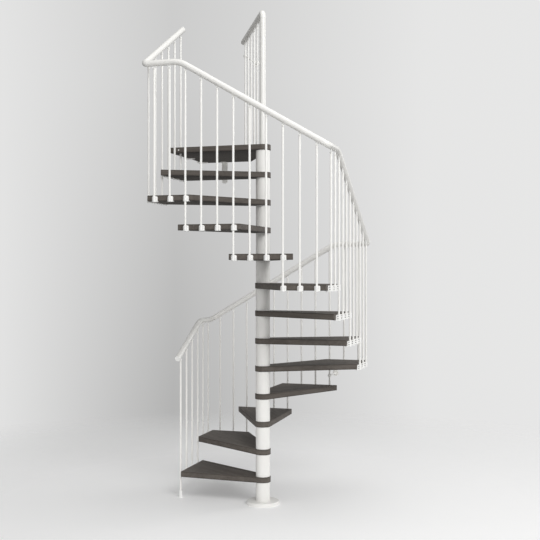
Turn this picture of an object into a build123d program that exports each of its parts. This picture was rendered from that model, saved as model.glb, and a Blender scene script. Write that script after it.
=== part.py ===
from build123d import *
import os
from math import asin, atan, cos, degrees, radians, sin, sqrt, tan

os.makedirs("parts", exist_ok=True)

# Driving dimensions in millimetres and degrees.
# The origin is on the column's axis at floor level. The stair climbs clockwise
# seen from above: left side, back, right side, front, and left side again.

# Flight
RISE = 220.0
TREAD_COUNT = 12
TREADS_PER_TURN = 12
TREAD_HALF = 690.0
TREAD_THICKNESS = 44.0
TREAD_OVERLAP = 43.0
TREAD_CORNER = 6.0
TREAD_EASING = 2.0
HUB_RADIUS = 62.5

# Column
POLE_DIAMETER = 46.0
POLE_WALL = 4.0
POLE_CLEARANCE = 0.3
SLEEVE_DIAMETER = 113.0
SLEEVE_WALL = 3.0
BASE_RADIUS = 131.0
BASE_THICKNESS = 28.0
BASE_FLOOR = 6.0
BASE_ROUNDING = 10.0

# Balusters
BALUSTER_STANDOFF = 18.0
BALUSTER_DIAMETER = 16.0
BALUSTERS_PER_HALF_SIDE = 5
BALUSTER_CORNER_GAP = 83.0
SOCKET_CLEARANCE = 0.3

# Clamps that hold the balusters to the edges of the treads
CLAMP_WIDTH = 43.0
CLAMP_HEIGHT = 42.0
CLAMP_DROP = 8.0
CLAMP_CORNER = 10.0
CLAMP_PAD = 7.0
CLAMP_BOSS = 24.0
CLAMP_EASING = 2.0
CLAMP_FLOOR = 6.0
CLAMP_TONGUE = 20.0
TONGUE_CORNER = 5.0

# Handrail
RAIL_DIAMETER = 46.0
RAIL_WALL = 2.5
RAIL_ABOVE_TREAD = 983.0
RAIL_LEVEL_RUN = 288.0
RAIL_BEND = 220.0
RAIL_ELBOW = 30.0
RAIL_STUB = 5.0
RAIL_START = -62.0
RAIL_FINISH = 40.0
BACK_RAIL_JOINT = 35.0
JOINT_RING_WIDTH = 5.0
JOINT_RING_LIP = 1.6
END_CAP = 5.0
END_CAP_LIP = 1.0
END_CAP_EASING = 1.5

# Knuckles between the balusters and the handrail
KNUCKLE_DROP = 22.0
KNUCKLE_EYE = 7.5
KNUCKLE_LENGTH = 30.0
KNUCKLE_THICKNESS = 6.0
KNUCKLE_CLEARANCE = 0.3
FORK_TOP = 5.0
FORK_DEPTH = 9.0

# Landing and its rail
LANDING_OVERHANG = 85.0
LANDING_RAIL_HEIGHT = 1062.0
LANDING_RAIL_FALL = 3.7
LANDING_RAIL_OVERHANG = 3.0
LANDING_FIRST_BALUSTER = 94.0
POST_ELBOW = 40.0

# Feet under the balusters that stand on the floor and on the landing
FLOOR_FOOT_FLANGE = 38.0
FLOOR_FOOT_FLANGE_THICKNESS = 12.0
FLOOR_FOOT_BODY = 27.0
FLOOR_FOOT_RIM = 31.0
FLOOR_FOOT_RIM_HEIGHT = 7.0
FLOOR_FOOT_HEIGHT = 57.0
FLOOR_FOOT_BOTTOM = 8.0
FLOOR_FOOT_EASING = 3.0
COLLAR_DIAMETER = 25.0
COLLAR_HEIGHT = 7.0

# Wall fixings
BACK_WALL_GAP = 228.0
LEFT_WALL_GAP = 35.0
TIE_HEIGHT = 957.0
TIE_INDEX = 3
LANDING_TIE_DROP = 146.0
TIE_ROD = 12.0
TIE_RING = 30.0
TIE_RING_HEIGHT = 18.0
TIE_FLANGE = 55.0
TIE_FLANGE_THICKNESS = 7.0
TIE_FLANGE_EASING = 2.5
BRACKET_WIDTH = 53.0
BRACKET_THICKNESS = 5.0
BRACKET_DROP = 187.0
BRACKET_LEG = 60.0
BACK_BRACKET_INSET = 199.0
LEFT_BRACKET_INSETS = (360.0, 50.0)

# Sizes that follow from the driving dimensions
STEP_ANGLE = 360.0 / TREADS_PER_TURN
LANDING_TOP = (TREAD_COUNT + 1) * RISE
TREADS_PER_SIDE = TREADS_PER_TURN // 4
POLE_RADIUS = POLE_DIAMETER / 2
POLE_BORE = POLE_RADIUS + POLE_CLEARANCE
BALUSTER_LINE = TREAD_HALF + BALUSTER_STANDOFF
BALUSTER_PITCH = (BALUSTER_LINE - BALUSTER_CORNER_GAP) / BALUSTERS_PER_HALF_SIDE
BALUSTER_RADIUS = BALUSTER_DIAMETER / 2
SOCKET_RADIUS = BALUSTER_RADIUS + SOCKET_CLEARANCE
RAIL_RADIUS = RAIL_DIAMETER / 2
RAIL_KINK = BALUSTER_LINE - RAIL_LEVEL_RUN
RAIL_SLOPE = TREADS_PER_SIDE * RISE / (BALUSTER_LINE + RAIL_KINK)
RAIL_ANGLE = degrees(atan(RAIL_SLOPE))
LANDING_TURN = STEP_ANGLE
LANDING_LEFT = TREAD_HALF + LANDING_OVERHANG
LANDING_RAIL_LEVEL = LANDING_TOP + LANDING_RAIL_HEIGHT
LANDING_RAIL_LENGTH = (TREAD_HALF + LANDING_RAIL_OVERHANG) / cos(radians(LANDING_TURN))
POLE_TOP = LANDING_RAIL_LEVEL - POST_ELBOW * tan(radians(90 + LANDING_RAIL_FALL) / 2) - RAIL_STUB
BACK_WALL = BALUSTER_LINE + BACK_WALL_GAP
LEFT_WALL = LANDING_LEFT + LEFT_WALL_GAP
SIDE_NAMES = ("left_lower", "back", "right", "front", "left_upper")


def save(name, solids):
    """Write one named piece, or a set of like pieces, as a STEP file."""
    children = list(solids) if isinstance(solids, (list, tuple)) else [solids]
    shape = children[0] if len(children) == 1 else Compound(children=children)
    export_step(shape, f"parts/{name}.step")


def turned(turn, out, along, height):
    """Place a shape made at the origin: turn is the run's heading, 0 on the left side."""
    return Rot(0, 0, turn) * Pos(-out, along, height)


def point_on(turn, out, along, height):
    """The point that turned() moves the origin to."""
    return Vector(-out, along, height).rotate(Axis.Z, turn)


# Treads and landing

def square_reach(angle, offset):
    """Where a line parallel to a radius, offset to its left, meets the square of the stair."""
    direction = Vector(cos(radians(angle)), sin(radians(angle)))
    start = Vector(-sin(radians(angle)), cos(radians(angle))) * offset
    lengths = []
    for position, slope in ((start.X, direction.X), (start.Y, direction.Y)):
        if abs(slope) > 1e-9:
            lengths.append((TREAD_HALF * (1 if slope > 0 else -1) - position) / slope)
    return start + direction * min(length for length in lengths if length > 0)


def board(points, rounded):
    """A board of the treads' thickness round the hub and the points, with its top face at 0."""
    hub = Edge.make_circle(HUB_RADIUS)
    rim = [Edge.make_line(a, b) for a, b in zip(points, points[1:])]
    outline = make_hull([hub, *rim])
    far_corners = [v for v in outline.vertices() if Vector(v).length > rounded]
    outline = fillet(far_corners, TREAD_CORNER)
    slab = extrude(outline, -TREAD_THICKNESS)
    faces = slab.faces().sort_by(Axis.Z)
    slab = chamfer(faces[-1].edges() + faces[0].edges(), TREAD_EASING)
    return slab - Cylinder(POLE_BORE, 4 * TREAD_THICKNESS)


def tread(number):
    """One step: a wedge that overlaps the step above it and the step below it."""
    start = 180 - STEP_ANGLE * (number - 1)
    finish = start - STEP_ANGLE
    first = square_reach(start, TREAD_OVERLAP)
    last = square_reach(finish, -TREAD_OVERLAP)
    points = [first, last]
    if abs(first.X - last.X) > 1 and abs(first.Y - last.Y) > 1:
        corner_x = TREAD_HALF * (1 if first.X + last.X > 0 else -1)
        corner_y = TREAD_HALF * (1 if first.Y + last.Y > 0 else -1)
        points.insert(1, Vector(corner_x, corner_y))
    return Pos(0, 0, number * RISE) * board(points, TREAD_HALF / 2)


def landing():
    """The top platform, which reaches past the baluster line on the left."""
    open_edge = -TREAD_HALF * tan(radians(LANDING_TURN)) + HUB_RADIUS / cos(radians(LANDING_TURN))
    points = [
        Vector(-LANDING_LEFT, -HUB_RADIUS),
        Vector(-LANDING_LEFT, TREAD_HALF),
        Vector(open_edge, TREAD_HALF),
    ]
    slab = Pos(0, 0, LANDING_TOP) * board(points, TREAD_HALF / 2)
    return slab - Pos(-BALUSTER_LINE, 0, LANDING_TOP) * Cylinder(SOCKET_RADIUS, 4 * TREAD_THICKNESS)


# Column

def base_plate():
    plate = Pos(0, 0, BASE_THICKNESS / 2) * Cylinder(BASE_RADIUS, BASE_THICKNESS)
    plate = fillet(plate.edges().group_by(Axis.Z)[-1], BASE_ROUNDING)
    socket = Pos(0, 0, BASE_FLOOR) * Cylinder(
        POLE_BORE, BASE_THICKNESS, align=(Align.CENTER, Align.CENTER, Align.MIN)
    )
    return plate - socket


def pipe(outer, wall, low, high):
    """An upright tube on the column's axis."""
    ring = Circle(outer) - Circle(outer - wall)
    return extrude(Pos(0, 0, low) * ring, high - low)


def sleeves():
    """Spacer tubes that stand between the treads round the pole."""
    tubes = []
    for number in range(1, TREAD_COUNT + 2):
        low = BASE_THICKNESS if number == 1 else (number - 1) * RISE
        high = number * RISE - TREAD_THICKNESS
        tubes.append(pipe(SLEEVE_DIAMETER / 2, SLEEVE_WALL, low, high))
    return tubes


# Places of the balusters

def edge_span(order):
    """How far a tread's outer edge reaches along one side: order 0 and 3 are corner treads."""
    low = STEP_ANGLE * (order - 2)
    high = low + STEP_ANGLE
    start = -TREAD_HALF
    finish = TREAD_HALF
    if order > 0:
        start = TREAD_HALF * tan(radians(low)) - TREAD_OVERLAP / cos(radians(low))
    if order < TREADS_PER_SIDE:
        finish = TREAD_HALF * tan(radians(high)) + TREAD_OVERLAP / cos(radians(high))
    return start, finish


def holders(side, along):
    """Numbers of the treads whose edge carries a baluster at this place along a side."""
    numbers = []
    for order in range(TREADS_PER_SIDE + 1):
        start, finish = edge_span(order)
        if start + CLAMP_WIDTH / 2 <= along <= finish - CLAMP_WIDTH / 2:
            numbers.append(TREADS_PER_SIDE * side - 1 + order)
    return numbers


def stations(side):
    """Places along a side that have a baluster, each with the treads that carry it."""
    found = []
    for step in range(-BALUSTERS_PER_HALF_SIDE, BALUSTERS_PER_HALF_SIDE + 1):
        along = step * BALUSTER_PITCH
        numbers = holders(side, along)
        if any(1 <= number <= TREAD_COUNT for number in numbers):
            found.append((along, numbers))
    return found


# Handrail line

def corner_level(side):
    """Height of the rail's axis over the corner tread at the end of a side."""
    return (TREADS_PER_SIDE * side + 2) * RISE + RAIL_ABOVE_TREAD


def rail_line(side, along, below=0.0):
    """Height and slope angle of the rail at a place along a side, on its axis or below it."""
    level = corner_level(side)
    radius = RAIL_BEND - below
    bend_finish = RAIL_KINK + RAIL_BEND * tan(radians(RAIL_ANGLE / 2))
    bend_start = bend_finish - radius * sin(radians(RAIL_ANGLE))
    if along <= bend_start:
        drop = (RAIL_KINK - along) * RAIL_SLOPE + below / cos(radians(RAIL_ANGLE))
        return level - drop, RAIL_ANGLE
    if along >= bend_finish:
        return level - below, 0.0
    run = bend_finish - along
    return level - RAIL_BEND + sqrt(radius**2 - run**2), degrees(asin(run / radius))


def rail_joint(side):
    """The point just after the corner where one length of rail meets the next."""
    reach = RAIL_ELBOW + RAIL_STUB
    along = -BALUSTER_LINE + reach * cos(radians(RAIL_ANGLE))
    height = corner_level(side - 1) + reach * sin(radians(RAIL_ANGLE))
    return point_on(-90 * side, BALUSTER_LINE, along, height)


def rail_tube(path):
    section = Circle(RAIL_RADIUS) - Circle(RAIL_RADIUS - RAIL_WALL)
    return sweep(Plane(origin=path @ 0, z_dir=path % 0) * section, path=path)


def handrail(side):
    """One side's rail: up the slope, level over the corner tread and round the corner."""
    turn = -90 * side
    if side == 0:
        first = point_on(turn, BALUSTER_LINE, RAIL_START, rail_line(0, RAIL_START)[0])
    else:
        first = rail_joint(side)
    if side == len(SIDE_NAMES) - 1:
        height = rail_line(side, RAIL_FINISH)[0]
        return rail_tube(Line(first, point_on(turn, BALUSTER_LINE, RAIL_FINISH, height)))
    kink = point_on(turn, BALUSTER_LINE, RAIL_KINK, corner_level(side))
    corner = point_on(turn, BALUSTER_LINE, BALUSTER_LINE, corner_level(side))
    path = FilletPolyline(first, kink, corner, rail_joint(side + 1), radius=[RAIL_BEND, RAIL_ELBOW])
    return rail_tube(path)


def landing_rail_point(along):
    """The point on the landing rail's axis, which falls a little away from the pole."""
    return point_on(LANDING_TURN, 0, along, LANDING_RAIL_LEVEL - along * tan(radians(LANDING_RAIL_FALL)))


def landing_handrail():
    """The landing's rail, with the bend that takes it down to the top of the pole."""
    corner = landing_rail_point(0)
    path = FilletPolyline(
        Vector(0, 0, POLE_TOP), corner, landing_rail_point(LANDING_RAIL_LENGTH), radius=POST_ELBOW
    )
    return rail_tube(path)


def landing_stations():
    """Places of the balusters along the landing's rail."""
    places = []
    along = LANDING_FIRST_BALUSTER
    while along <= LANDING_RAIL_LENGTH - RAIL_DIAMETER:
        places.append(along)
        along += BALUSTER_PITCH
    return places


def ring_at(point, direction):
    """A thin collar round a joint in the handrail."""
    lip = Circle(RAIL_RADIUS + JOINT_RING_LIP) - Circle(RAIL_RADIUS + KNUCKLE_CLEARANCE)
    return extrude(Plane(origin=point, z_dir=direction) * lip, JOINT_RING_WIDTH / 2, both=True)


def cap_at(point, direction):
    """A plain cap on an open end of the handrail, with its outer edge eased."""
    disc = Cylinder(RAIL_RADIUS + END_CAP_LIP, END_CAP, align=(Align.CENTER, Align.CENTER, Align.MIN))
    disc = chamfer(disc.edges().group_by(Axis.Z)[-1], END_CAP_EASING)
    return Plane(origin=point, z_dir=direction) * disc


def slope_direction(side):
    """Direction of the sloping part of the rail, uphill."""
    up = Vector(0, cos(radians(RAIL_ANGLE)), sin(radians(RAIL_ANGLE)))
    return up.rotate(Axis.Z, -90 * side)


# Balusters, clamps and knuckles

def clamp(through):
    """A clamp with its baluster's axis at the origin, the tread's top at 0 and the tread at +X."""
    low = -CLAMP_DROP - CLAMP_HEIGHT
    back = BALUSTER_STANDOFF - CLAMP_PAD

    # The boss round the baluster runs on into the pad, so that its eased top edge ends inside it.
    web = Rectangle(back + CLAMP_EASING, CLAMP_BOSS, align=(Align.MIN, Align.CENTER))
    body = extrude(Pos(0, 0, low) * (web + Circle(CLAMP_BOSS / 2)), CLAMP_HEIGHT)
    body = chamfer(body.faces().sort_by(Axis.Z)[-1].edges(), CLAMP_EASING)

    # The pad lies against the tread's edge.
    pad = Rectangle(CLAMP_WIDTH, CLAMP_HEIGHT, align=(Align.CENTER, Align.MAX))
    pad = fillet(pad.vertices().group_by(Axis.Y)[-1], CLAMP_CORNER)
    face = Plane(origin=(back, 0, -CLAMP_DROP), x_dir=(0, 1, 0), z_dir=(1, 0, 0))
    body += extrude(face * pad, CLAMP_PAD)

    # The tongue reaches under the tread.
    tongue = Rectangle(CLAMP_PAD + CLAMP_TONGUE, CLAMP_WIDTH, align=(Align.MIN, Align.CENTER))
    tongue = fillet(tongue.vertices().group_by(Axis.X)[-1], TONGUE_CORNER)
    body += extrude(Pos(back, 0, low) * tongue, -TREAD_THICKNESS - low)

    floor = low - CLAMP_FLOOR if through else low + CLAMP_FLOOR
    socket = Cylinder(SOCKET_RADIUS, 2 * CLAMP_HEIGHT, align=(Align.CENTER, Align.CENTER, Align.MIN))
    return body - Pos(0, 0, floor) * socket


def baluster(low, under):
    """A rod on the Z axis from low up to a fork below the rail's underside."""
    pivot = under - KNUCKLE_DROP
    rod = extrude(Pos(0, 0, low) * Circle(BALUSTER_RADIUS), pivot + FORK_TOP - low)
    slot = Pos(0, 0, pivot - FORK_DEPTH) * Box(
        KNUCKLE_THICKNESS + 2 * KNUCKLE_CLEARANCE,
        2 * BALUSTER_DIAMETER,
        2 * FORK_DEPTH + FORK_TOP,
        align=(Align.CENTER, Align.CENTER, Align.MIN),
    )
    return rod - slot


def knuckle(under, ends):
    """A tab that swivels in the baluster's fork, its two upper ends against the rail."""
    eye = Edge.make_circle(KNUCKLE_EYE, Plane(origin=(0, under - KNUCKLE_DROP, 0)))
    outline = make_hull([eye, Edge.make_line(*ends)])
    upright = Plane(origin=(0, 0, 0), x_dir=(0, 1, 0), z_dir=(1, 0, 0))
    return extrude(upright * outline, KNUCKLE_THICKNESS / 2, both=True)


def floor_foot():
    """The turned foot of the first baluster: a flange on the floor, a waist and a rim at the top."""
    flange = FLOOR_FOOT_FLANGE / 2
    waist = FLOOR_FOOT_BODY / 2
    rim = FLOOR_FOOT_RIM / 2
    rim_bottom = FLOOR_FOOT_HEIGHT - FLOOR_FOOT_RIM_HEIGHT
    profile = Polyline(
        (0, 0),
        (flange, 0),
        (flange, FLOOR_FOOT_FLANGE_THICKNESS - FLOOR_FOOT_EASING),
        (flange - FLOOR_FOOT_EASING, FLOOR_FOOT_FLANGE_THICKNESS),
        (waist, FLOOR_FOOT_FLANGE_THICKNESS),
        (waist, rim_bottom - (rim - waist)),
        (rim, rim_bottom),
        (rim, FLOOR_FOOT_HEIGHT),
        (SOCKET_RADIUS, FLOOR_FOOT_HEIGHT),
        (SOCKET_RADIUS, FLOOR_FOOT_BOTTOM),
        (0, FLOOR_FOOT_BOTTOM),
        close=True,
    )
    return revolve(Plane.XZ * make_face(profile), Axis.Z)


def collar():
    """A small collar where a baluster stands on the landing."""
    return extrude(Circle(COLLAR_DIAMETER / 2) - Circle(SOCKET_RADIUS), COLLAR_HEIGHT)


# Wall fixings

def wall_tie(centre):
    """A ring on the baluster at this point, with a rod and a round flange that reach the back wall."""
    reach = BACK_WALL - centre.Y
    ring = Cylinder(TIE_RING / 2, TIE_RING_HEIGHT)
    rod = Cylinder(TIE_ROD / 2, reach, align=(Align.CENTER, Align.CENTER, Align.MIN))
    flange = Cylinder(TIE_FLANGE / 2, TIE_FLANGE_THICKNESS)
    flange = chamfer(flange.edges().group_by(Axis.Z)[0], TIE_FLANGE_EASING)
    arm = rod + Pos(0, 0, reach - TIE_FLANGE_THICKNESS / 2) * flange
    return Pos(*centre) * (ring + Rot(-90, 0, 0) * arm - Cylinder(SOCKET_RADIUS, 2 * TIE_RING))


def rounded_bar(length):
    """A flat bar along +Y from the origin with a rounded far end, its top face at 0."""
    half = BRACKET_WIDTH / 2
    outline = Rectangle(BRACKET_WIDTH, length - half, align=(Align.CENTER, Align.MIN))
    outline += Pos(0, length - half) * Circle(half)
    return extrude(outline, -BRACKET_THICKNESS)


def hanging_bracket():
    """The angle plate under the landing's back edge, its long leg hanging down."""
    leg = rounded_bar(BRACKET_LEG)
    drop = Rot(-90, 0, 0) * rounded_bar(BRACKET_DROP)
    place = Pos(BACK_BRACKET_INSET - LANDING_LEFT, TREAD_HALF, LANDING_TOP - TREAD_THICKNESS)
    return place * Rot(0, 0, 180) * (leg + drop)


def wall_bracket(along):
    """The angle plate between the landing's left edge and the wall."""
    reach = LEFT_WALL - LANDING_LEFT
    leg = rounded_bar(BRACKET_LEG + reach)
    upright = Box(
        BRACKET_WIDTH,
        BRACKET_THICKNESS,
        TREAD_THICKNESS + BRACKET_THICKNESS,
        align=(Align.CENTER, Align.MIN, Align.MIN),
    )
    shape = leg + Pos(0, 0, -BRACKET_THICKNESS) * upright
    return Pos(-LEFT_WALL, along, LANDING_TOP - TREAD_THICKNESS) * Rot(0, 0, -90) * shape


def build():
    save("base_plate", base_plate())
    save("centre_pole", pipe(POLE_RADIUS, POLE_WALL, BASE_FLOOR, POLE_TOP))
    save("column_sleeves", sleeves())
    for number in range(1, TREAD_COUNT + 1):
        save(f"tread_{number:02d}", tread(number))
    save("landing", landing())

    feet = [turned(0, BALUSTER_LINE, 0, 0) * floor_foot()]
    rings = []
    for side, name in enumerate(SIDE_NAMES):
        turn = -90 * side
        rods = []
        clamps = []
        knuckles = []
        for along, numbers in stations(side):
            place = turned(turn, BALUSTER_LINE, along, 0)
            under, angle = rail_line(side, along, RAIL_RADIUS)
            lowest = min(numbers)
            low = lowest * RISE - CLAMP_DROP - CLAMP_HEIGHT + CLAMP_FLOOR + SOCKET_CLEARANCE
            if lowest < 1:
                low = FLOOR_FOOT_BOTTOM + SOCKET_CLEARANCE
            rods.append(place * baluster(low, under))
            reach = KNUCKLE_LENGTH / 2 * cos(radians(angle))
            ends = [
                Vector(offset, rail_line(side, along + offset, RAIL_RADIUS + KNUCKLE_CLEARANCE)[0])
                for offset in (-reach, reach)
            ]
            knuckles.append(place * knuckle(under, ends))
            for number in numbers:
                if 1 <= number <= TREAD_COUNT:
                    clamps.append(place * Pos(0, 0, number * RISE) * clamp(number != lowest))
        save(f"balusters_{name}", rods)
        save(f"clamps_{name}", clamps)
        save(f"knuckles_{name}", knuckles)
        save(f"handrail_{name}", handrail(side))
        if side > 0:
            rings.append(ring_at(rail_joint(side), slope_direction(side)))
    back_joint = point_on(-90, BALUSTER_LINE, BACK_RAIL_JOINT, rail_line(1, BACK_RAIL_JOINT)[0])
    rings.append(ring_at(back_joint, slope_direction(1)))
    rings.append(ring_at(Vector(0, 0, POLE_TOP), Vector(0, 0, 1)))

    rods = []
    knuckles = []
    fall = radians(LANDING_RAIL_FALL)
    reach = KNUCKLE_LENGTH / 2 * cos(fall)
    for along in landing_stations():
        place = turned(LANDING_TURN, 0, along, 0)
        under = landing_rail_point(along).Z - RAIL_RADIUS / cos(fall)
        top = under - KNUCKLE_CLEARANCE / cos(fall)
        ends = [Vector(offset, top - offset * tan(fall)) for offset in (-reach, reach)]
        rods.append(place * baluster(LANDING_TOP + SOCKET_CLEARANCE, under))
        knuckles.append(place * knuckle(under, ends))
        feet.append(place * Pos(0, 0, LANDING_TOP) * collar())
    save("balusters_landing", rods)
    save("knuckles_landing", knuckles)
    save("handrail_landing", landing_handrail())
    save("baluster_feet", feet)
    save("rail_joint_rings", rings)

    low_end = point_on(0, BALUSTER_LINE, RAIL_START, rail_line(0, RAIL_START)[0])
    last = len(SIDE_NAMES) - 1
    high_end = point_on(-90 * last, BALUSTER_LINE, RAIL_FINISH, rail_line(last, RAIL_FINISH)[0])
    landing_end = landing_rail_point(LANDING_RAIL_LENGTH)
    caps = [
        cap_at(low_end, -slope_direction(0)),
        cap_at(high_end, slope_direction(last)),
        cap_at(landing_end, landing_end - landing_rail_point(0)),
    ]
    save("rail_end_caps", caps)

    tied = Vector(TIE_INDEX * BALUSTER_PITCH, BALUSTER_LINE, TIE_HEIGHT)
    landing_tied = landing_rail_point(landing_stations()[-1]) - Vector(0, 0, LANDING_TIE_DROP)
    save("wall_ties", [wall_tie(tied), wall_tie(landing_tied)])
    brackets = [wall_bracket(TREAD_HALF - inset) for inset in LEFT_BRACKET_INSETS]
    save("landing_brackets", [hanging_bracket(), *brackets])


build()
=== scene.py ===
"""Spiral staircase: wood, paint, nylon, small fittings, floor, light and camera.

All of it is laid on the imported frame, in metres.
"""

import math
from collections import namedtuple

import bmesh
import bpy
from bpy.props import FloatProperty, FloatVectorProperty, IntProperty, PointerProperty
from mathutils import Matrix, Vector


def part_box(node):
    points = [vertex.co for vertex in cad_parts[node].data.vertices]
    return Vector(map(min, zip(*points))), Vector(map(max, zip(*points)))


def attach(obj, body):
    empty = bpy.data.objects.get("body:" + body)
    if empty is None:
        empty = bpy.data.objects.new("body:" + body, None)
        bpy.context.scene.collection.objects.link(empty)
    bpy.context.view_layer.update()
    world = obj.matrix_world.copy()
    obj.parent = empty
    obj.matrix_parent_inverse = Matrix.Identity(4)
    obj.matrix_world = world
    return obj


bl_info = {
    "name": "Spiral Staircase Dressing",
    "version": (1, 0, 0),
    "blender": (4, 5, 0),
    "location": "View3D > Sidebar > Staircase",
    "description": "Finishes, small fittings and a stage for a spiral staircase on a square plan",
    "category": "Object",
}

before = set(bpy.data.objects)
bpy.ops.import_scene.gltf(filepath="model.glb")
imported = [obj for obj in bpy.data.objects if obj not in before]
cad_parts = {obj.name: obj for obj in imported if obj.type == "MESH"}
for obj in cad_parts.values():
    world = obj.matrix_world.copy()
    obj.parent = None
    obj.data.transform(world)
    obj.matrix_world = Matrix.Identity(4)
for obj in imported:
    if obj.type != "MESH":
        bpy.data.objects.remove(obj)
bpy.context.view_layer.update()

BODY = "root"

DOWN = (0, 0, -1)
FORWARD = (0, -1, 0)
LEFT = (-1, 0, 0)

# Heading of each side of the stair, in quarter turns clockwise from the left side.
SIDE_TURNS = {"left_lower": 0, "back": 1, "right": 2, "front": 3, "left_upper": 4}

# Heading of the bolts under the landing's rail, from +X towards +Y.
LANDING_BOLT_HEADING = math.radians(30)


# Settings

class WoodSettings(bpy.types.PropertyGroup):
    """The stained treads and the landing."""

    light_colour: FloatVectorProperty(
        name="Early Wood", description="Colour of the pale streaks under the stain",
        subtype="COLOR", size=3, min=0, max=1, default=(0.142, 0.125, 0.109),
    )
    dark_colour: FloatVectorProperty(
        name="Late Wood", description="Colour of the dark streaks under the stain",
        subtype="COLOR", size=3, min=0, max=1, default=(0.092, 0.080, 0.070),
    )
    streak_width: FloatProperty(
        name="Streak Width", description="Width of one broad streak across the grain",
        subtype="DISTANCE", unit="LENGTH", min=0.002, default=0.016,
    )
    streak_length: FloatProperty(
        name="Streak Length", description="Length of one broad streak along the grain",
        subtype="DISTANCE", unit="LENGTH", min=0.05, default=0.55,
    )
    pore_width: FloatProperty(
        name="Pore Width", description="Width of the fine open pores",
        subtype="DISTANCE", unit="LENGTH", min=0.0005, default=0.0022,
    )
    # Strength of the darkening next to the arrises and of the painted shade under the boards.
    arris: FloatProperty(
        name="Dark Arrises",
        description="How much darker the stain is along the edges and under the boards",
        subtype="FACTOR", min=0, max=1, default=0.70,
    )
    gloss: FloatProperty(
        name="Lacquer Roughness", description="Roughness of the satin lacquer",
        subtype="FACTOR", min=0, max=1, default=0.56,
    )


class PaintSettings(bpy.types.PropertyGroup):
    """The powder-coated steel and the moulded nylon."""

    coat_colour: FloatVectorProperty(
        name="Powder Coat", description="Warm white of the column, the rods and the handrail",
        subtype="COLOR", size=3, min=0, max=1, default=(0.875, 0.865, 0.835),
    )
    nylon_colour: FloatVectorProperty(
        name="Nylon", description="White of the clamps, knuckles, feet and caps",
        subtype="COLOR", size=3, min=0, max=1, default=(0.930, 0.927, 0.908),
    )
    peel_size: FloatProperty(
        name="Orange Peel", description="Size of the fine ripple in the powder coat",
        subtype="DISTANCE", unit="LENGTH", min=0.0005, default=0.0035,
    )
    coat_roughness: FloatProperty(
        name="Coat Roughness", description="Roughness of the satin powder coat",
        subtype="FACTOR", min=0, max=1, default=0.36,
    )
    nylon_roughness: FloatProperty(
        name="Nylon Roughness", description="Roughness of the moulded nylon",
        subtype="FACTOR", min=0, max=1, default=0.46,
    )


class FittingSettings(bpy.types.PropertyGroup):
    """Screws, bolts and caps that hold the stair together."""

    steel_colour: FloatVectorProperty(
        name="Screw Steel", description="Colour of the burnished screws in the clamps",
        subtype="COLOR", size=3, min=0, max=1, default=(0.15, 0.15, 0.15),
    )
    grub_diameter: FloatProperty(
        name="Grub Screw", description="Diameter of the two screws in the side of each clamp",
        subtype="DISTANCE", unit="LENGTH", min=0.002, default=0.008,
    )
    wood_screw_diameter: FloatProperty(
        name="Wood Screw Head",
        description="Diameter of the screw heads under the treads, on the ties and on the brackets",
        subtype="DISTANCE", unit="LENGTH", min=0.003, default=0.009,
    )
    bolt_diameter: FloatProperty(
        name="Knuckle Bolt",
        description="Diameter of the bolt head and of its cap on each baluster's fork",
        subtype="DISTANCE", unit="LENGTH", min=0.002, default=0.010,
    )
    cap_diameter: FloatProperty(
        name="Cover Cap", description="Diameter of the white cap in the landing's front edge",
        subtype="DISTANCE", unit="LENGTH", min=0.005, default=0.0115,
    )
    sides: IntProperty(
        name="Facets", description="Number of facets round each screw head and cap",
        min=12, max=48, default=24,
    )


class StageSettings(bpy.types.PropertyGroup):
    """The camera, the lights and the pale floor."""

    camera_place: FloatVectorProperty(
        name="Camera Place", description="Where the camera stands",
        subtype="TRANSLATION", unit="LENGTH", size=3, default=(2.2640, -7.0913, 1.8626),
    )
    camera_turn: FloatProperty(
        name="Camera Turn", description="Heading of the level camera from +Y towards -X",
        subtype="ANGLE", unit="ROTATION", default=math.radians(17.2716),
    )
    lens: FloatProperty(
        name="Lens", description="Focal length on a 36 mm sensor",
        subtype="DISTANCE_CAMERA", default=62.22,
    )
    backdrop: FloatVectorProperty(
        name="Backdrop", description="Colour behind the stair",
        subtype="COLOR", size=3, min=0, max=1, default=(0.80, 0.80, 0.797),
    )
    backdrop_shade: FloatVectorProperty(
        name="Backdrop Shade",
        description="Colour of the soft shade on the backdrop behind the left of the stair",
        subtype="COLOR", size=3, min=0, max=1, default=(0.45, 0.45, 0.447),
    )
    floor_colour: FloatVectorProperty(
        name="Floor", description="Colour of the floor",
        subtype="COLOR", size=3, min=0, max=1, default=(0.94, 0.94, 0.937),
    )
    floor_glow: FloatProperty(
        name="Floor Glow",
        description="Light that the floor gives by itself, which thins the shadows on it",
        min=0, default=0.09,
    )
    floor_radius: FloatProperty(
        name="Floor Radius", description="Reach of the floor before it has faded into the backdrop",
        subtype="DISTANCE", unit="LENGTH", default=5.0,
    )
    sky_light: FloatProperty(
        name="Sky Light", description="Strength of the soft light from all round and above",
        min=0, default=0.80,
    )
    ground_light: FloatProperty(
        name="Ground Light", description="Strength of the soft light from below",
        min=0, default=0.20,
    )
    far_side: FloatProperty(
        name="Far Side",
        description="Share of the soft light that comes from the left and from behind",
        subtype="FACTOR", min=0, max=1, default=0.50,
    )
    key_power: FloatProperty(
        name="Key Light", description="Power of the large light at the right",
        subtype="POWER", unit="POWER", min=0, default=247.0,
    )
    front_power: FloatProperty(
        name="Front Light", description="Power of the large light in front",
        subtype="POWER", unit="POWER", min=0, default=45.0,
    )
    fill_power: FloatProperty(
        name="Fill Light", description="Power of the large light at the left",
        subtype="POWER", unit="POWER", min=0, default=24.0,
    )
    back_power: FloatProperty(
        name="Back Light", description="Power of the large light behind the stair",
        subtype="POWER", unit="POWER", min=0, default=95.0,
    )
    top_power: FloatProperty(
        name="Top Light", description="Power of the large light overhead",
        subtype="POWER", unit="POWER", min=0, default=60.0,
    )


# Shader building

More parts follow.
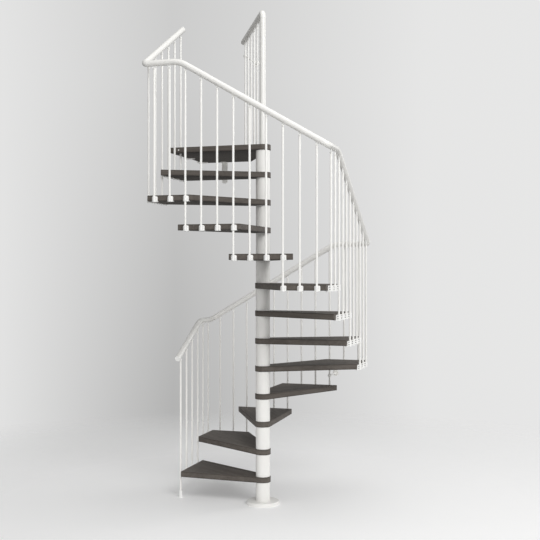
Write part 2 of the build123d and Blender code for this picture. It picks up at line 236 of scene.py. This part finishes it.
class Value:
    """A node's output that takes part in sums: each operator adds a Math node."""

    def __init__(self, finish, socket):
        self.finish = finish
        self.socket = socket

    def _math(self, operation, *terms):
        inputs = dict(enumerate(terms))
        return self.finish.node("ShaderNodeMath", {"operation": operation}, inputs)

    def __add__(self, other):
        return self._math("ADD", self, other)

    __radd__ = __add__

    def __sub__(self, other):
        return self._math("SUBTRACT", self, other)

    def __rsub__(self, other):
        return self._math("SUBTRACT", other, self)

    def __mul__(self, other):
        return self._math("MULTIPLY", self, other)

    __rmul__ = __mul__

    def __truediv__(self, other):
        return self._math("DIVIDE", self, other)

    def __rtruediv__(self, other):
        return self._math("DIVIDE", other, self)

    def __abs__(self):
        return self._math("ABSOLUTE", self)


class Finish:
    """The nodes that make a material, or the light all round."""

    def __init__(self, owner):
        self.owner = owner
        owner.use_nodes = True
        self.tree = owner.node_tree
        self.tree.nodes.clear()

    @classmethod
    def called(cls, name):
        return cls(bpy.data.materials.new(name))

    def node(self, kind, settings=None, inputs=None, output=0):
        """Add a node: its settings first, then the values and links of its sockets."""
        made = self.tree.nodes.new(kind)
        for key, value in (settings or {}).items():
            if key == "stops":
                self._set_stops(made.color_ramp, value)
            else:
                setattr(made, key, value)
        for key, value in (inputs or {}).items():
            if isinstance(value, Value):
                self.tree.links.new(value.socket, made.inputs[key])
            else:
                made.inputs[key].default_value = value
        return Value(self, made.outputs[output])

    @staticmethod
    def _set_stops(ramp, stops):
        while len(ramp.elements) < len(stops):
            ramp.elements.new(1.0)
        for element, (place, grey) in zip(ramp.elements, stops):
            element.position = place
            element.color = (grey, grey, grey, 1.0)

    def place(self):
        """The point on the surface, in metres in the stair's own frame."""
        return self.node("ShaderNodeTexCoord", output="Object")

    def height(self, vector):
        """The upright part of a vector."""
        return self.node("ShaderNodeSeparateXYZ", None, {0: vector}, output="Z")

    def reach(self, vector, direction):
        """How far a vector goes along a fixed direction."""
        settings = {"operation": "DOT_PRODUCT"}
        inputs = {0: vector, 1: direction}
        return self.node("ShaderNodeVectorMath", settings, inputs, output="Value")

    def mapped(self, vector, turn, shift, scale):
        """The point after a turn about the upright axis, stretched and then shifted."""
        settings = {"vector_type": "POINT"}
        turned = {"Vector": vector, "Rotation": (0.0, 0.0, turn)}
        stretched = {
            "Vector": self.node("ShaderNodeMapping", settings, turned),
            "Scale": scale,
            "Location": shift,
        }
        return self.node("ShaderNodeMapping", settings, stretched)

    def noise(self, vector, scale=1.0, detail=2.0, roughness=0.5, distortion=0.0):
        return self.node("ShaderNodeTexNoise", {"noise_dimensions": "3D"}, {
            "Vector": vector, "Scale": scale, "Detail": detail,
            "Roughness": roughness, "Distortion": distortion,
        })

    def ramp(self, factor, stops):
        return self.node("ShaderNodeValToRGB", {"stops": stops}, {"Fac": factor})

    def blend(self, factor, first, second):
        """A mix of two colours, which are the Mix node's sockets 6 and 7."""
        inputs = {0: factor, 6: opaque(first), 7: opaque(second)}
        return self.node("ShaderNodeMix", {"data_type": "RGBA"}, inputs, output=2)

    def bump(self, height, strength, distance):
        inputs = {"Height": height, "Strength": strength, "Distance": distance}
        return self.node("ShaderNodeBump", None, inputs)

    def principled(self, **sockets):
        """A Principled shader; underscores in names stand for spaces."""
        inputs = {key.replace("_", " "): value for key, value in sockets.items()}
        return self.node("ShaderNodeBsdfPrincipled", None, inputs)

    def background(self, colour, strength):
        inputs = {"Color": colour, "Strength": strength}
        return self.node("ShaderNodeBackground", None, inputs)

    def either(self, factor, first, second):
        """The first shader where the factor is 0 and the second where it is 1."""
        return self.node("ShaderNodeMixShader", None, {0: factor, 1: first, 2: second})

    def show(self, shader, kind="ShaderNodeOutputMaterial"):
        """Send a shader to the output."""
        target = self.tree.nodes.new(kind)
        self.tree.links.new(shader.socket, target.inputs["Surface"])
        return self.owner


def opaque(colour):
    """A plain colour with its alpha; a node's colour stays as it is."""
    return colour if isinstance(colour, Value) else (*colour, 1.0)


def tinted(colour, share):
    return tuple(part * share for part in colour)


def from_signed(value):
    """A value that runs from -1 to 1, moved to run from 0 to 1."""
    return value * 0.5 + 0.5


# Wood grain: repeats per metre along a board and twice across it, and the shift between boards.
GRAIN_SHIFT = (3.7, 1.9, 0.83)
FLAME_REPEATS = (1.1, 9.0, 9.0)
PORES_ALONG = 14.0

# How the tones of the wood are laid over each other, with the darkening next to the arrises and the
# painted shade under the boards.
STREAK_SHARE = 0.55
GRAIN_STOPS = ((0.36, 0.0), (0.66, 1.0))
PORE_STOPS = ((0.30, 1.0), (0.46, 0.0))
PORE_TINT = 0.62
PORE_COVER = 0.55
EDGE_STOPS = ((0.60, 0.0), (0.90, 1.0))
# Painted shade on faces that look downwards.
UNDERSIDE_SHADE_STOPS = ((0.2, 0.0), (0.9, 1.0))
ARRIS_AND_SHADE_TINT = 0.45

# How the relief and the gloss of the wood follow its grain.
STREAK_RELIEF = 0.35
PORE_DULLNESS = 0.18
STREAK_SHINE = 0.05


def stained_wood(name, heading, seed, wood, low, high):
    """Dark stained timber with its grain along the heading, different for each board."""
    finish = Finish.called(name)
    point = finish.place()
    shift = tinted(GRAIN_SHIFT, seed)
    across = 1.0 / wood.streak_width
    streaks = finish.noise(
        finish.mapped(point, -heading, shift, (1.0 / wood.streak_length, across, across)),
        detail=3.0, roughness=0.55, distortion=0.35,
    )
    flame = finish.noise(
        finish.mapped(point, -heading, shift, FLAME_REPEATS),
        detail=2.0, roughness=0.5, distortion=0.8,
    )
    across = 1.0 / wood.pore_width
    pores = finish.noise(
        finish.mapped(point, -heading, shift, (PORES_ALONG, across, across)),
        detail=2.0, roughness=0.7,
    )
    tone = finish.ramp(streaks * STREAK_SHARE + flame * (1 - STREAK_SHARE), GRAIN_STOPS)
    pore_mask = finish.ramp(pores, PORE_STOPS)
    # Mask of the painted shade under the board and of the darkening next to its arrises.
    arris_and_shade_factor = arris_and_painted_shade_mask(finish, point, low, high)
    colour = finish.blend(tone, wood.dark_colour, wood.light_colour)
    colour = finish.blend(pore_mask * PORE_COVER, colour, tinted(wood.dark_colour, PORE_TINT))
    # Darker tone of the wood for the painted shade and the arrises.
    arris_and_shade_colour = tinted(wood.dark_colour, ARRIS_AND_SHADE_TINT)
    return finish.show(finish.principled(
        Base_Color=finish.blend(arris_and_shade_factor * wood.arris, colour, arris_and_shade_colour),
        Roughness=wood.gloss + pore_mask * PORE_DULLNESS - tone * STREAK_SHINE,
        Specular_IOR_Level=0.22,
        Normal=finish.bump(tone * STREAK_RELIEF - pore_mask, strength=0.32, distance=0.0006),
    ))


def arris_and_painted_shade_mask(finish, point, low, high):
    """Near one under a board, where it paints shade, and near one next to the arrises of its edge
    faces, where it darkens them.
    """
    middle = (low + high) / 2
    from_middle = abs(finish.height(point) - middle)
    near_arris = finish.ramp(from_middle / (high - middle), EDGE_STOPS)
    level = finish.height(finish.node("ShaderNodeNewGeometry", output="Normal"))
    underside = finish.ramp(0.0 - level, UNDERSIDE_SHADE_STOPS)
    return near_arris * (1.0 - abs(level)) + underside


def powder_coat(name, paint, tint=1.0):
    """Satin powder coat with a fine ripple and a slightly uneven gloss."""
    cloud_tint, gloss_spread = 0.965, 0.08
    finish = Finish.called(name)
    point = finish.place()
    cloud = finish.noise(point, scale=3.2, detail=3.0)
    peel = finish.noise(point, scale=1.0 / paint.peel_size, detail=1.0)
    # A tint above one lifts the same white coat, as painted light.
    colour = tinted(paint.coat_colour, tint)
    return finish.show(finish.principled(
        Base_Color=finish.blend(cloud, tinted(colour, cloud_tint), colour),
        Roughness=paint.coat_roughness + cloud * gloss_spread - gloss_spread / 2,
        Coat_Weight=0.12,
        Coat_Roughness=0.25,
        Normal=finish.bump(peel, strength=0.04, distance=0.0004),
    ))


def moulded_nylon(name, paint):
    """Matt white nylon with the fine grain of its mould."""
    cloud_tint, gloss_spread = 0.97, 0.1
    finish = Finish.called(name)
    point = finish.place()
    grain = finish.noise(point, scale=1400.0, detail=2.0, roughness=0.6)
    cloud = finish.noise(point, scale=18.0, detail=2.0)
    colour = paint.nylon_colour
    return finish.show(finish.principled(
        Base_Color=finish.blend(cloud, tinted(colour, cloud_tint), colour),
        Roughness=paint.nylon_roughness + grain * gloss_spread - gloss_spread / 2,
        Normal=finish.bump(grain, strength=0.15, distance=0.0002),
    ))


def burnished_steel(name, fittings):
    """Dark burnished steel with uneven dullness."""
    cloud_tint, shine, gloss_spread = 0.7, 0.32, 0.25
    finish = Finish.called(name)
    cloud = finish.noise(finish.place(), scale=420.0, detail=3.0, roughness=0.6)
    colour = fittings.steel_colour
    return finish.show(finish.principled(
        Base_Color=finish.blend(cloud, tinted(colour, cloud_tint), colour),
        Metallic=0.85,
        Roughness=shine + cloud * gloss_spread,
        Normal=finish.bump(cloud, strength=0.1, distance=0.0001),
    ))


# Coats of the metalwork, all one white: material, how much it is lifted beside the column as
# painted light, and the nodes that have it.
COATS = (
    ("warm_white_powder_coat", 1.0, ("base_plate", "centre_pole", "column_sleeves")),
    ("baluster_coat", 1.07, ("balusters_",)),
    ("handrail_coat", 1.01, ("handrail_",)),
    ("fixing_coat", 1.05, ("wall_ties", "landing_brackets")),
)
BOLT_TINT = 0.80
FIXING_SCREW_TINT = 0.94

# Nodes moulded in nylon.
MOULDED = ("clamps_", "knuckles_", "baluster_feet", "rail_end_caps", "rail_joint_rings")


# Mesh building

# A socket screw's head from its underside up and into the socket: share of its radius, share of
# its height, and whether the ring is the socket's hexagon.
HEAD_PROFILE = (
    (1.00, -1.00, False),
    (1.00, 0.45, False),
    (0.86, 0.85, False),
    (0.62, 1.00, False),
    (0.42, 1.00, True),
    (0.38, -0.20, True),
)
DOME_RINGS = 5

# Points of a node's mesh that are nearer than this are one point.
WELD = 1e-5


def ring_points(radius, height, sides, hexagon=False):
    """Points of one ring of a turned form; a hexagon has its flats at this radius."""
    flat = math.pi / 3
    points = []
    for index in range(sides):
        angle = math.tau * index / sides
        reach = radius / math.cos(angle % flat - flat / 2) if hexagon else radius
        points.append(Vector((reach * math.cos(angle), reach * math.sin(angle), height)))
    return points


def add_turned(mesh, place, rings):
    """Add a closed turned form, with rings from its first end to its last, moved to a place."""
    loops = [[mesh.verts.new(place @ point) for point in ring] for ring in rings]
    for low, high in zip(loops, loops[1:]):
        for index in range(len(low)):
            after = (index + 1) % len(low)
            mesh.faces.new((low[index], low[after], high[after], high[index]))
    mesh.faces.new(reversed(loops[0]))
    mesh.faces.new(loops[-1])


def socket_head(diameter, height, sides):
    """Rings of a domed screw head with a hexagon socket, sunk a little at its foot."""
    return [
        ring_points(diameter / 2 * width, height * rise, sides, hexagon)
        for width, rise, hexagon in HEAD_PROFILE
    ]


def domed_cap(diameter, height, sides):
    """Rings of a plain domed cap, sunk a little at its foot."""
    rings = [ring_points(diameter / 2, -height, sides)]
    for step in range(DOME_RINGS):
        angle = math.pi / 2 * step / DOME_RINGS
        radius = diameter / 2 * math.cos(angle)
        rings.append(ring_points(radius, height * math.sin(angle), sides))
    return rings


def make_piece(name, mesh, material):
    """Turn a built mesh into a piece that rides on the stair."""
    bmesh.ops.recalc_face_normals(mesh, faces=mesh.faces)
    piece = place_mesh(name, mesh, material)
    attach(piece, BODY)


def place_mesh(name, mesh, material):
    """Turn a built mesh into an object with its material."""
    data = bpy.data.meshes.new(name)
    mesh.to_mesh(data)
    mesh.free()
    data.materials.append(material)
    made = bpy.data.objects.new(name, data)
    bpy.context.scene.collection.objects.link(made)
    return made


def facing(point, direction):
    """A place at the point whose +Z axis looks along the direction."""
    turn = Vector(direction).to_track_quat("Z", "Y").to_matrix().to_4x4()
    return Matrix.Translation(point) @ turn


def solids(node):
    """Lowest and highest corners of each separate solid in a node."""
    mesh = bmesh.new()
    mesh.from_mesh(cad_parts[node].data)
    bmesh.ops.remove_doubles(mesh, verts=mesh.verts, dist=WELD)
    found = []
    seen = set()
    for start in mesh.verts:
        if start in seen:
            continue
        seen.add(start)
        waiting = [start]
        low = start.co.copy()
        high = start.co.copy()
        while waiting:
            vertex = waiting.pop()
            low = Vector(map(min, low, vertex.co))
            high = Vector(map(max, high, vertex.co))
            for edge in vertex.link_edges:
                other = edge.other_vert(vertex)
                if other not in seen:
                    seen.add(other)
                    waiting.append(other)
        found.append((low, high))
    mesh.free()
    return found


def side_axes(side):
    """Directions along a side uphill, and inwards to the treads."""
    turn = Matrix.Rotation(-math.pi / 2 * SIDE_TURNS[side], 3, "Z")
    return turn @ Vector((0, 1, 0)), turn @ Vector((1, 0, 0))


def dress(names, material):
    """Give CAD nodes their finish."""
    for name in names:
        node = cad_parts[name]
        node.data.materials.clear()
        node.data.materials.append(material)


def nodes_called(*starts):
    """Names of the CAD nodes that start with one of these, in the order of the alphabet."""
    names = [name for name in sorted(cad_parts) if name.startswith(starts)]
    if not names:
        raise LookupError(f"no node's name starts with {' or '.join(starts)}")
    return names


# Operators

class STAIR_OT_treads(bpy.types.Operator):
    """Stain the treads and the landing, each with its own grain along its length"""

    bl_idname = "stair.treads"
    bl_label = "Stain Treads"

    def execute(self, context):
        wood = context.scene.stair_wood
        for seed, name in enumerate(nodes_called("tread_", "landing")):
            if name == "landing_brackets":
                continue
            low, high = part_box(name)
            middle = (low + high) / 2
            heading = math.pi if name == "landing" else math.atan2(middle.y, middle.x)
            stain = stained_wood(f"stained_{name}", heading, seed, wood, low.z, high.z)
            dress([name], stain)
        return {"FINISHED"}


class STAIR_OT_coating(bpy.types.Operator):
    """Coat the column, the balusters, the handrails, the ties and the brackets"""

    bl_idname = "stair.coating"
    bl_label = "Coat Metalwork"

    def execute(self, context):
        for name, tint, starts in COATS:
            coat = powder_coat(name, context.scene.stair_paint, tint)
            dress(nodes_called(*starts), coat)
        return {"FINISHED"}


class STAIR_OT_nylon(bpy.types.Operator):
    """Finish the clamps, knuckles, feet, rings and caps in white nylon"""

    bl_idname = "stair.nylon"
    bl_label = "Finish Nylon Parts"

    def execute(self, context):
        nylon = moulded_nylon("white_nylon", context.scene.stair_paint)
        dress(nodes_called(*MOULDED), nylon)
        return {"FINISHED"}


# Screws of a clamp. The grub screws are in the flank of its boss, in from its outermost point
# and down from its top. The wood screws are under its tongue, in from the tongue's end and to
# each side of its middle.
BOSS_HALF_WIDTH = 0.012
GRUB_INSET = 0.0175
GRUB_DROPS = (0.012, 0.028)
GRUB_HEIGHT = 0.0008
TONGUE_SCREW_INSET = 0.010
TONGUE_SCREW_OFFSETS = (-0.012, 0.012)
TONGUE_SCREW_HEIGHT = 0.0016


class STAIR_OT_clamp_screws(bpy.types.Operator):
    """Add the two screws in the side of each clamp and the two under its tongue"""

    bl_idname = "stair.clamp_screws"
    bl_label = "Add Clamp Screws"

    def execute(self, context):
        fittings = context.scene.stair_fittings
        sides = fittings.sides
        steel = burnished_steel("clamp_screw_steel", fittings)
        grub = socket_head(fittings.grub_diameter, GRUB_HEIGHT, sides)
        wood_screw = socket_head(fittings.wood_screw_diameter, TONGUE_SCREW_HEIGHT, sides)
        for side in SIDE_TURNS:
            along, inward = side_axes(side)
            mesh = bmesh.new()
            for low, high in solids(f"clamps_{side}"):
                middle = (low + high) / 2
                reach = inward * (abs((high - low).dot(inward)) / 2)
                self.add_side_screws(mesh, middle - reach, high.z, along, inward, grub)
                self.add_tongue_screws(mesh, middle + reach, low.z, along, inward, wood_screw)
            make_piece(f"clamp_screws_{side}", mesh, steel)
        return {"FINISHED"}

    @staticmethod
    def add_side_screws(mesh, outer, top, along, inward, rings):
        """Two screws, one above the other, in the uphill flank of the boss."""
        for drop in GRUB_DROPS:
            point = outer + inward * GRUB_INSET + along * BOSS_HALF_WIDTH
            point.z = top - drop
            add_turned(mesh, facing(point, along), rings)

    @staticmethod
    def add_tongue_screws(mesh, inner, underside, along, inward, rings):
        """Two screws that hold the tongue to the underside of the tread."""
        for offset in TONGUE_SCREW_OFFSETS:
            point = inner - inward * TONGUE_SCREW_INSET + along * offset
            point.z = underside
            add_turned(mesh, facing(point, DOWN), rings)


# The bolt through a baluster's fork, just under the top of the rod.
ROD_RADIUS = 0.008
BOLT_DROP = 0.005
BOLT_HEAD_HEIGHT = 0.0018
BOLT_CAP_HEIGHT = 0.0030


class STAIR_OT_knuckle_bolts(bpy.types.Operator):
    """Add the painted head and the white cap of the bolt through each baluster's fork"""

    bl_idname = "stair.knuckle_bolts"
    bl_label = "Add Knuckle Bolts"

    def execute(self, context):
        fittings = context.scene.stair_fittings
        paint = context.scene.stair_paint
        painted = powder_coat("painted_knuckle_bolts", paint, BOLT_TINT)
        nylon = moulded_nylon("bolt_cap_nylon", paint)
        head = socket_head(fittings.bolt_diameter, BOLT_HEAD_HEIGHT, fittings.sides)
        cap = domed_cap(fittings.bolt_diameter, BOLT_CAP_HEIGHT, fittings.sides)
        groups = {side: side_axes(side)[1] for side in SIDE_TURNS}
        groups["landing"] = Matrix.Rotation(LANDING_BOLT_HEADING, 3, "Z") @ Vector((1, 0, 0))
        for name, inward in groups.items():
            heads = bmesh.new()
            caps = bmesh.new()
            for low, high in solids(f"balusters_{name}"):
                centre = (low + high) / 2
                centre.z = high.z - BOLT_DROP
                add_turned(heads, facing(centre - inward * ROD_RADIUS, -inward), head)
                add_turned(caps, facing(centre + inward * ROD_RADIUS, inward), cap)
            make_piece(f"knuckle_bolts_{name}", heads, painted)
            make_piece(f"knuckle_bolt_caps_{name}", caps, nylon)
        return {"FINISHED"}


# Painted screws of the ties and brackets.
FIXING_SCREW_HEIGHT = 0.0018

# A tie: its ring round the rail, its round flange, and the headings of the flange's screws.
TIE_RING_RADIUS = 0.015
FLANGE_THICKNESS = 0.007
FLANGE_SCREW_CIRCLE = 0.020
FLANGE_SCREW_HEADINGS = (90, 210, 330)

# The hanging plate at the back of the landing is the only bracket taller than this. Its screws
# are at these drops down its long leg, and this far back from the front end of its short leg.
ANGLE_TALLEST = 0.1
PLATE_THICKNESS = 0.005
PLATE_SCREW_DROPS = (0.045, 0.100, 0.155)
SHORT_LEG_SCREWS = (0.040, 0.020)

# The angles at the left of the landing: how far their screws are from the leg's right end.
ANGLE_SCREWS = (0.018, 0.038)

# The cap in the landing's front edge, beside the rod that passes through the landing.
COVER_CAP_HEIGHT = 0.0028
COVER_CAP_OFFSET = 0.008


class STAIR_OT_fixing_screws(bpy.types.Operator):
    """Add the screws of the ties and brackets, and the cap in the landing's edge"""

    bl_idname = "stair.fixing_screws"
    bl_label = "Add Fixing Screws"

    def execute(self, context):
        fittings = context.scene.stair_fittings
        paint = context.scene.stair_paint
        painted = powder_coat("painted_screws", paint, FIXING_SCREW_TINT)
        rings = socket_head(fittings.wood_screw_diameter, FIXING_SCREW_HEIGHT, fittings.sides)
        mesh = bmesh.new()
        for low, high in solids("wall_ties"):
            self.add_tie_screws(mesh, low, high, rings)
        for low, high in solids("landing_brackets"):
            self.add_bracket_screws(mesh, low, high, rings)
        make_piece("fixing_screws", mesh, painted)
        self.add_cover_cap(fittings, moulded_nylon("cover_cap_nylon", paint))
        return {"FINISHED"}

    @staticmethod
    def add_tie_screws(mesh, low, high, rings):
        """One screw in the ring's side and three round the flange."""
        centre = (low + high) / 2
        ring_side = Vector((centre.x - TIE_RING_RADIUS, low.y + TIE_RING_RADIUS, centre.z))
        add_turned(mesh, facing(ring_side, LEFT), rings)
        for heading in map(math.radians, FLANGE_SCREW_HEADINGS):
            point = Vector((
                centre.x + FLANGE_SCREW_CIRCLE * math.cos(heading),
                high.y - FLANGE_THICKNESS,
                centre.z + FLANGE_SCREW_CIRCLE * math.sin(heading),
            ))
            add_turned(mesh, facing(point, FORWARD), rings)

    @staticmethod
    def add_bracket_screws(mesh, low, high, rings):
        """Screws up through the leg under the landing, and through the long hanging leg."""
        centre = (low + high) / 2
        if high.z - low.z < ANGLE_TALLEST:
            for inset in ANGLE_SCREWS:
                point = Vector((high.x - inset, centre.y, low.z))
                add_turned(mesh, facing(point, DOWN), rings)
            return
        for drop in PLATE_SCREW_DROPS:
            point = Vector((centre.x, high.y - PLATE_THICKNESS, high.z - drop))
            add_turned(mesh, facing(point, FORWARD), rings)
        for inset in SHORT_LEG_SCREWS:
            point = Vector((centre.x, low.y + inset, high.z - PLATE_THICKNESS))
            add_turned(mesh, facing(point, DOWN), rings)

    @staticmethod
    def add_cover_cap(fittings, nylon):
        """The cap beside the middle rod of the upper left side."""
        low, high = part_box("landing")
        rods = solids("balusters_left_upper")
        rod_low, rod_high = min(rods, key=lambda box: abs(box[0].y + box[1].y))
        rod_x = (rod_low.x + rod_high.x) / 2
        point = Vector((rod_x + COVER_CAP_OFFSET, low.y, (low.z + high.z) / 2))
        cap = bmesh.new()
        rings = domed_cap(fittings.cap_diameter, COVER_CAP_HEIGHT, fittings.sides)
        add_turned(cap, facing(point, FORWARD), rings)
        make_piece("landing_cover_cap", cap, nylon)


# Large round lights: where each one hangs, the point that it faces, and the setting of its power.
Lamp = namedtuple("Lamp", "name place target diameter power")
LAMPS = (
    Lamp("key_light", (4.7, -5.0, 6.0), (0.0, 0.0, 1.9), 3.6, "key_power"),
    Lamp("front_light", (2.7, -6.7, 3.2), (0.0, 0.0, 1.9), 3.0, "front_power"),
    Lamp("fill_light", (-4.2, -5.6, 2.4), (0.0, 0.0, 1.6), 3.6, "fill_power"),
    Lamp("back_light", (5.0, 5.4, 3.8), (0.0, 0.0, 2.0), 3.2, "back_power"),
    Lamp("top_light", (0.6, -0.8, 7.4), (0.0, 0.0, 1.0), 4.2, "top_power"),
)
SENSOR_WIDTH = 36.0

# The floor fades out between these shares of its radius.
FLOOR_SEGMENTS = 96
FLOOR_CLOUD_TINT = 0.98
FLOOR_FADE = ((0.42, 0.0), (0.98, 1.0))

# Soft light all round: its strength by height, and the side that it is strongest from.
WHITE = (1.0, 1.0, 1.0, 1.0)
SKY_STOPS = ((0.36, 0.0), (0.54, 1.0), (0.85, 0.6))
BRIGHT_SIDE = (0.86, -0.50, 0.0)
FAR_SIDE_END = 0.30
BRIGHT_SIDE_START = 0.75

# Soft shade on the backdrop: directions across the stage and away to its back, and how the shade
# lies across, by height, and only at the back.
STAGE_RIGHT = (0.955, 0.297, 0.0)
STAGE_BACK = (-0.297, 0.955, 0.0)
SHADE_ACROSS = ((0.35, 0.0), (0.45, 1.0), (0.48, 0.80), (0.58, 0.05), (0.66, 0.0))
SHADE_BY_HEIGHT = ((0.43, 1.0), (0.60, 0.55))
SHADE_AT_BACK = ((0.45, 0.0), (0.85, 1.0))


class STAIR_OT_stage(bpy.types.Operator):
    """Set up the floor, the backdrop, the lights and the camera"""

    bl_idname = "stair.stage"
    bl_label = "Set Up Stage"

    def execute(self, context):
        stage = context.scene.stair_stage
        self.add_floor(stage)
        self.set_backdrop(context.scene, stage)
        for lamp in LAMPS:
            self.add_lamp(context.scene, lamp, getattr(stage, lamp.power))
        self.add_camera(context.scene, stage)
        context.scene.view_settings.view_transform = "Standard"
        return {"FINISHED"}

    @staticmethod
    def add_floor(stage):
        """A pale round floor that fades into the backdrop."""
        finish = Finish.called("pale_floor")
        point = finish.place()
        cloud = finish.noise(point, scale=6.0, detail=4.0)
        settings = {"operation": "LENGTH"}
        distance = finish.node("ShaderNodeVectorMath", settings, {0: point}, output="Value")
        fade = finish.ramp(distance / stage.floor_radius, FLOOR_FADE)
        colour = stage.floor_colour
        solid = finish.principled(
            Base_Color=finish.blend(cloud, tinted(colour, FLOOR_CLOUD_TINT), colour),
            Roughness=0.7,
            Emission_Color=opaque(colour),
            Emission_Strength=stage.floor_glow,
        )
        clear = finish.node("ShaderNodeBsdfTransparent")
        material = finish.show(finish.either(fade, solid, clear))
        mesh = bmesh.new()
        bmesh.ops.create_circle(
            mesh, cap_ends=True, radius=stage.floor_radius, segments=FLOOR_SEGMENTS
        )
        place_mesh("floor", mesh, material)

    @staticmethod
    def set_backdrop(scene, stage):
        """A softly shaded backdrop, and soft light on the stair that is weaker from below."""
        studio = Finish(bpy.data.worlds.new("studio"))
        scene.world = studio.owner
        direction = studio.node("ShaderNodeTexCoord", output="Generated")
        height = from_signed(studio.height(direction))

        upper = studio.ramp(height, SKY_STOPS)
        sideways = from_signed(studio.reach(direction, BRIGHT_SIDE))
        side_stops = ((FAR_SIDE_END, stage.far_side), (BRIGHT_SIDE_START, 1.0))
        side = studio.ramp(sideways, side_stops)
        strength = (upper * (stage.sky_light - stage.ground_light) + stage.ground_light) * side
        soft = studio.background(WHITE, strength)

        across = from_signed(studio.reach(direction, STAGE_RIGHT))
        band = studio.ramp(across, SHADE_ACROSS)
        lower = studio.ramp(height, SHADE_BY_HEIGHT)
        behind = studio.ramp(studio.reach(direction, STAGE_BACK), SHADE_AT_BACK)
        backdrop = studio.blend(band * lower * behind, stage.backdrop, stage.backdrop_shade)
        even = studio.background(backdrop, 1.0)

        seen = studio.node("ShaderNodeLightPath", output="Is Camera Ray")
        studio.show(studio.either(seen, soft, even), "ShaderNodeOutputWorld")

    @staticmethod
    def add_lamp(scene, lamp, power):
        """A large round light that faces its target."""
        data = bpy.data.lights.new(lamp.name, "AREA")
        data.shape = "DISK"
        data.size = lamp.diameter
        data.energy = power
        light = bpy.data.objects.new(lamp.name, data)
        scene.collection.objects.link(light)
        light.location = lamp.place
        ray = Vector(lamp.target) - Vector(lamp.place)
        light.rotation_euler = ray.to_track_quat("-Z", "Y").to_euler()

    @staticmethod
    def add_camera(scene, stage):
        """A level camera at the photograph's viewing angle."""
        data = bpy.data.cameras.new("camera")
        data.sensor_width = SENSOR_WIDTH
        data.lens = stage.lens
        camera = bpy.data.objects.new("camera", data)
        scene.collection.objects.link(camera)
        camera.location = stage.camera_place
        camera.rotation_euler = (math.radians(90), 0.0, stage.camera_turn)
        scene.camera = camera


class STAIR_PT_panel(bpy.types.Panel):
    """Lists the steps that dress the staircase"""

    bl_idname = "STAIR_PT_panel"
    bl_label = "Spiral Staircase"
    bl_space_type = "VIEW_3D"
    bl_region_type = "UI"
    bl_category = "Staircase"

    def draw(self, context):
        for operator in OPERATORS:
            self.layout.operator(operator.bl_idname)
        for group in SETTINGS:
            settings = getattr(context.scene, group)
            box = self.layout.box()
            for name in settings.bl_rna.properties.keys():
                if name not in ("rna_type", "name"):
                    box.prop(settings, name)


SETTINGS = {
    "stair_wood": WoodSettings,
    "stair_paint": PaintSettings,
    "stair_fittings": FittingSettings,
    "stair_stage": StageSettings,
}
OPERATORS = (
    STAIR_OT_treads,
    STAIR_OT_coating,
    STAIR_OT_nylon,
    STAIR_OT_clamp_screws,
    STAIR_OT_knuckle_bolts,
    STAIR_OT_fixing_screws,
    STAIR_OT_stage,
)
CLASSES = (*SETTINGS.values(), *OPERATORS, STAIR_PT_panel)


def register():
    for item in CLASSES:
        bpy.utils.register_class(item)
    for name, group in SETTINGS.items():
        setattr(bpy.types.Scene, name, PointerProperty(type=group))


def unregister():
    for name in SETTINGS:
        delattr(bpy.types.Scene, name)
    for item in reversed(CLASSES):
        bpy.utils.unregister_class(item)


def main():
    register()
    bpy.ops.stair.treads()
    bpy.ops.stair.coating()
    bpy.ops.stair.nylon()
    bpy.ops.stair.clamp_screws()
    bpy.ops.stair.knuckle_bolts()
    bpy.ops.stair.fixing_screws()
    bpy.ops.stair.stage()


if __name__ == "__main__":
    main()
